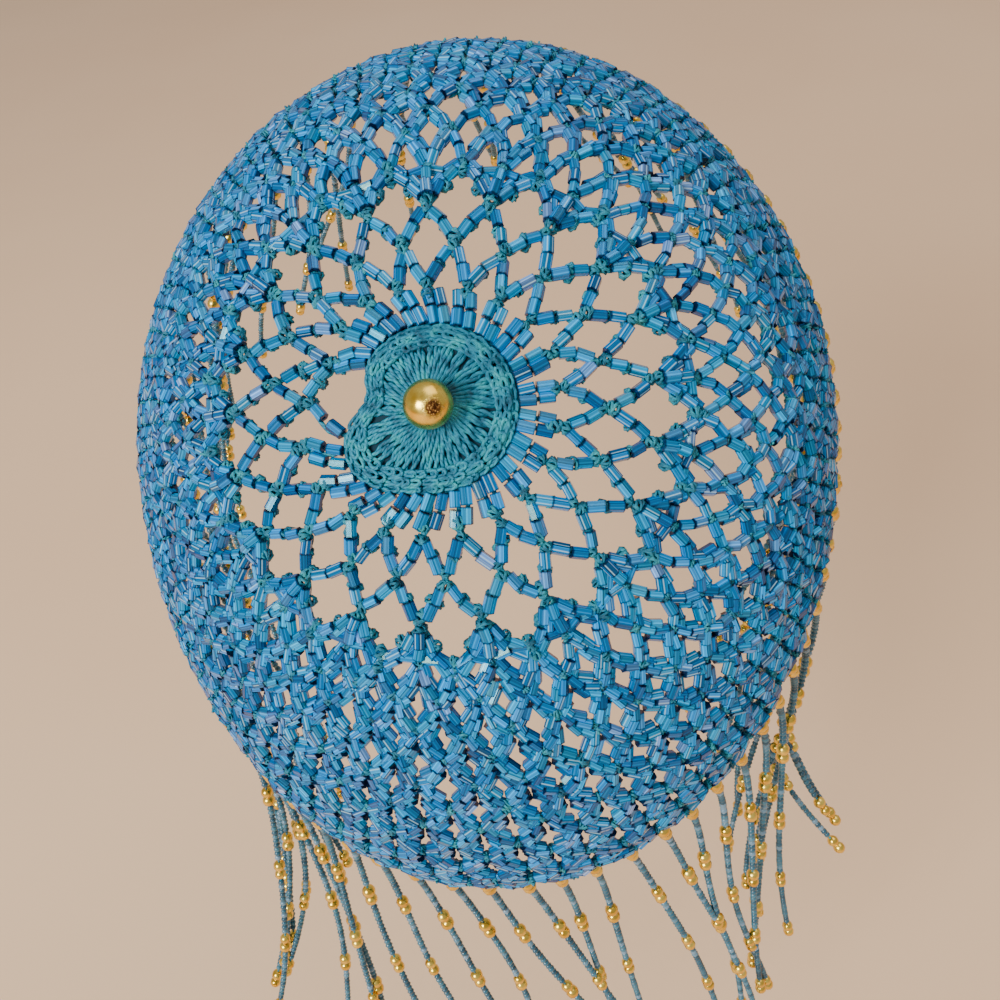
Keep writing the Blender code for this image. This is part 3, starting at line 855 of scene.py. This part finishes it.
def fall_at(angle):
    """How far strands at this angle lean out and sideways, and out at their tips. FALL has a row for each
    of some angles, in degrees from the front: angle, lean outwards, lean sideways, lean at the tip."""
    degrees = (math.degrees(angle) + 180) % 360 - 180
    for row, after in zip(FALL, FALL[1:]):
        if degrees <= after[0]:
            part = (degrees - row[0]) / (after[0] - row[0])
            return [row[k] + (after[k] - row[k]) * part for k in (1, 2, 3)]
    return list(FALL[-1][1:])


def strand_line(k, rng):
    """One strand: out of the hem along the dome, then down, with a little sway of its own."""
    angle = TURN * (k + 0.5) / STRANDS + rng.uniform(-0.008, 0.008)
    out = Vector((math.sin(angle), -math.cos(angle), 0))
    side = Vector((math.cos(angle), math.sin(angle), 0))
    down = BOWED.to_3x3().transposed() @ Vector((0, 0, -1))
    lean_out, lean_side, lean_tip = FLUNG.get(k) or fall_at(angle)
    stray_out, stray_side = rng.uniform(-0.05, 0.05), rng.uniform(-0.10, 0.10)
    point = dome(angle, HEM_SLOPE + 0.034, 0.0012)
    leave = (dome(angle, HEM_SLOPE, 0) - dome(angle, HEM_SLOPE - 0.07, 0)).normalized()
    sway, phase = rng.uniform(0.0, 0.15), rng.uniform(0, TURN)
    steps, line = 20, [point]
    for i in range(steps):
        t = (i + 1) / steps
        bend = min(1.0, t * 4)
        lean = lean_out + (lean_tip - lean_out) * t + stray_out
        fall = (down + out * lean + side * (lean_side + stray_side)).normalized()
        wave = side * sway * math.sin(phase + 5 * t) + out * sway * 0.6 * math.cos(phase + 4 * t)
        heading = (leave.lerp(fall, bend) + wave * min(1, 2 * t)).normalized()
        point = point + heading * STRAND_LENGTH / steps
        line.append(point)
    return line


def round_bead(name, sides, profile):
    bm = bmesh.new()
    rings = [[bm.verts.new((r * math.cos(TURN * k / sides), r * math.sin(TURN * k / sides), z))
              for k in range(sides)] for r, z in profile]
    for a, b in zip(rings, rings[1:]):
        for k in range(sides):
            bm.faces.new((a[k], b[k], b[(k + 1) % sides], a[(k + 1) % sides]))
    bm.faces.new(rings[0])
    bm.faces.new(rings[-1][::-1])
    bmesh.ops.recalc_face_normals(bm, faces=bm.faces)
    mesh = bpy.data.meshes.new(name)
    bm.to_mesh(mesh)
    bm.free()
    mesh.shade_smooth()
    return bpy.data.objects.new(name, mesh)


def strand_tree():
    """Beads at even places along each strand. Every period of places begins with two gold beads, with an
    empty place between and after them, and the rest are seed beads; Gold picks which kind is made."""
    tree = Tree("strand of beads", {"Bead": "Object", "Places": "Int", "Period": "Int", "Gold": "Bool",
                                    "Seed": "Int", "Material": "Material"})
    curve = tree.put("GeometryNodeMeshToCurve", Mesh=tree.inputs["Geometry"])
    curve = tree.put("GeometryNodeCurveSplineType", settings={"spline_type": "CATMULL_ROM"}, Curve=curve)
    place = tree.put("GeometryNodeResampleCurve", Curve=curve, Count=tree.inputs["Places"])
    index = tree.put("GeometryNodeSplineParameter", out=2)
    spaced = tree.math("FLOORED_MODULO", index, tree.inputs["Period"])
    up_to_two = tree.math("COMPARE", spaced, 1.0, 1.1)
    is_gold = tree.math("SUBTRACT", up_to_two, tree.math("COMPARE", spaced, 1.0, 0.1))
    before_next = tree.math("LESS_THAN", spaced, tree.math("SUBTRACT", tree.inputs["Period"], 1.5))
    is_seed = tree.math("MULTIPLY", tree.math("GREATER_THAN", spaced, 3.5), before_next)
    pick = tree.put("GeometryNodeSwitch", settings={"input_type": "FLOAT"}, s0=tree.inputs["Gold"],
                    s1=is_seed, s2=is_gold)
    place = tree.put("GeometryNodeStoreNamedAttribute", settings={"data_type": "FLOAT", "domain": "POINT"},
                     Geometry=place, Name="pick", Value=pick)
    points = tree.put("GeometryNodeCurveToPoints", settings={"mode": "EVALUATED"}, Curve=place).node.outputs
    tint = tree.put("FunctionNodeRandomValue", out=1, settings={"data_type": "FLOAT"}, s2=0.0, s3=1.0,
                    Seed=tree.inputs["Seed"])
    cloud = tree.put("GeometryNodeStoreNamedAttribute", settings={"data_type": "FLOAT", "domain": "POINT"},
                     Geometry=points["Points"], Name="tint", Value=tint)
    chosen = tree.put("GeometryNodeInputNamedAttribute", settings={"data_type": "FLOAT"}, Name="pick")
    size = tree.put("FunctionNodeRandomValue", out=1, settings={"data_type": "FLOAT"}, s2=0.93, s3=1.07,
                    Seed=tree.math("ADD", tree.inputs["Seed"], 3))
    made = tree.put("GeometryNodeInstanceOnPoints", Points=cloud,
                    Selection=tree.math("GREATER_THAN", chosen, 0.5),
                    Instance=tree.put("GeometryNodeObjectInfo", out="Geometry", Object=tree.inputs["Bead"]),
                    Rotation=points["Rotation"], Scale=size)
    made = tree.put("GeometryNodeRealizeInstances", Geometry=made)
    return tree.finish(tree.put("GeometryNodeSetMaterial", Geometry=made, Material=tree.inputs["Material"]))


def seed_glass_material():
    """Small round beads of greyer blue glass, a few with a paler coat."""
    m = Shader("blue seed glass", Roughness=0.22, IOR=1.5, Coat_Weight=0.3, Coat_Roughness=0.1,
               Transmission_Weight=0.15)
    tint = m.put("ShaderNodeAttribute", out=2, settings={"attribute_name": "tint"})
    m.drive("Base Color", m.ramp(tint, ((0.0, (0.018, 0.09, 0.14)), (0.4, (0.032, 0.15, 0.22)),
                                        (0.8, (0.065, 0.23, 0.31)), (1.0, (0.24, 0.38, 0.50)))))
    return m.material


strand_rng = random.Random(23)
strand_lines = [strand_line(k, strand_rng) for k in range(STRANDS)]
strands_tree = strand_tree()
half = SEED_LENGTH / 2
seed_bead = round_bead("seed bead pattern", 6, ((SEED_RADIUS * 0.70, half), (SEED_RADIUS, 0),
                                                (SEED_RADIUS * 0.70, -half)))
gold_profile = [(GOLD_RADIUS * math.sin(a), GOLD_RADIUS * math.cos(a))
                for a in (math.pi * (i + 0.5) / 6 for i in range(6))]
gold_bead = round_bead("gold bead pattern", 10, gold_profile)
plating = gold_material("gold plating")
seed_glass = seed_glass_material()
for name, pattern, gold, material, slot in (
        ("fringe_seed_beads", seed_bead, False, seed_glass, "fringe_beads"),
        ("fringe_gold_beads", gold_bead, True, plating, "gold_bead")):
    piece = bake(chains(name, strand_lines), strands_tree,
                 {"Bead": pattern, "Places": STRAND_POINTS, "Period": 18, "Gold": gold, "Seed": 77,
                  "Material": material})
    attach(piece, "root")
strand_thread = bake(chains("fringe_thread", strand_lines), thread_tree,
                     {"Radius": 0.00030, "Sides": 5, "Points": 24, "Material": cotton})
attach(strand_thread, "root")
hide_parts("fringe")

# Setting: a pale warm floor well under the fringe, a big soft light from the lower left of the view, a
# weaker one from above, and the camera close above the crown, nearly along the cap's axis.
FLOOR_DEPTH = 0.30
CAMERA_AT = Vector((0.0263, -0.0201, 0.1517))
CAMERA_LOOKS = Vector((-0.1088, 0.0300, -0.9936))
CAMERA_UP = Vector((0.0666, 0.9975, 0.0228))
FOCAL_SHARE = 0.95


def floor():
    bm = bmesh.new()
    bmesh.ops.create_grid(bm, x_segments=1, y_segments=1, size=6.0)
    bm.transform(Matrix.Translation((0, 0, -FLOOR_DEPTH)))
    mesh = bpy.data.meshes.new("floor")
    bm.to_mesh(mesh)
    bm.free()
    m = Shader("pale floor", Roughness=0.6)
    cloud = m.put("ShaderNodeTexNoise", Vector=m.put("ShaderNodeTexCoord", out=3), Scale=3.0, Detail=3.0)
    m.drive("Base Color", m.ramp(cloud, ((0.3, (0.90, 0.56, 0.325)), (0.7, (0.94, 0.60, 0.355)))))
    mesh.materials.append(m.material)
    obj = bpy.data.objects.new("floor", mesh)
    bpy.context.collection.objects.link(obj)
    return obj


def soft_light(name, place, target, size, power, colour):
    light = bpy.data.lights.new(name, "AREA")
    light.size = size
    light.energy = power
    light.color = colour
    obj = bpy.data.objects.new(name, light)
    bpy.context.collection.objects.link(obj)
    obj.location = place
    obj.rotation_mode = "QUATERNION"
    obj.rotation_quaternion = (Vector(target) - Vector(place)).to_track_quat("-Z", "Y")


floor()
soft_light("window", (-0.9, -1.2, 0.9), (0, 0, -0.05), 0.7, 37, (0.90, 0.98, 1.0))
soft_light("ceiling", (0.5, 0.4, 1.5), (0, 0, -0.05), 1.2, 9, (1.0, 0.94, 0.86))
world = bpy.data.worlds.new("room")
bpy.context.scene.world = world
world.use_nodes = True
world.node_tree.nodes["Background"].inputs["Color"].default_value = (0.88, 0.90, 0.94, 1)
world.node_tree.nodes["Background"].inputs["Strength"].default_value = 0.55

camera = bpy.data.objects.new("camera", bpy.data.cameras.new("camera"))
bpy.context.collection.objects.link(camera)
back = -(BOWED.to_3x3() @ CAMERA_LOOKS).normalized()
right = (BOWED.to_3x3() @ CAMERA_UP).cross(back).normalized()
aimed = Matrix((right, back.cross(right), back)).transposed().to_4x4()
camera.matrix_world = Matrix.Translation(BOWED @ CAMERA_AT) @ aimed
camera.data.sensor_width = 36
camera.data.lens = 36 * FOCAL_SHARE
camera.data.clip_start = 0.01
camera.data.clip_end = 30
bpy.context.scene.camera = camera
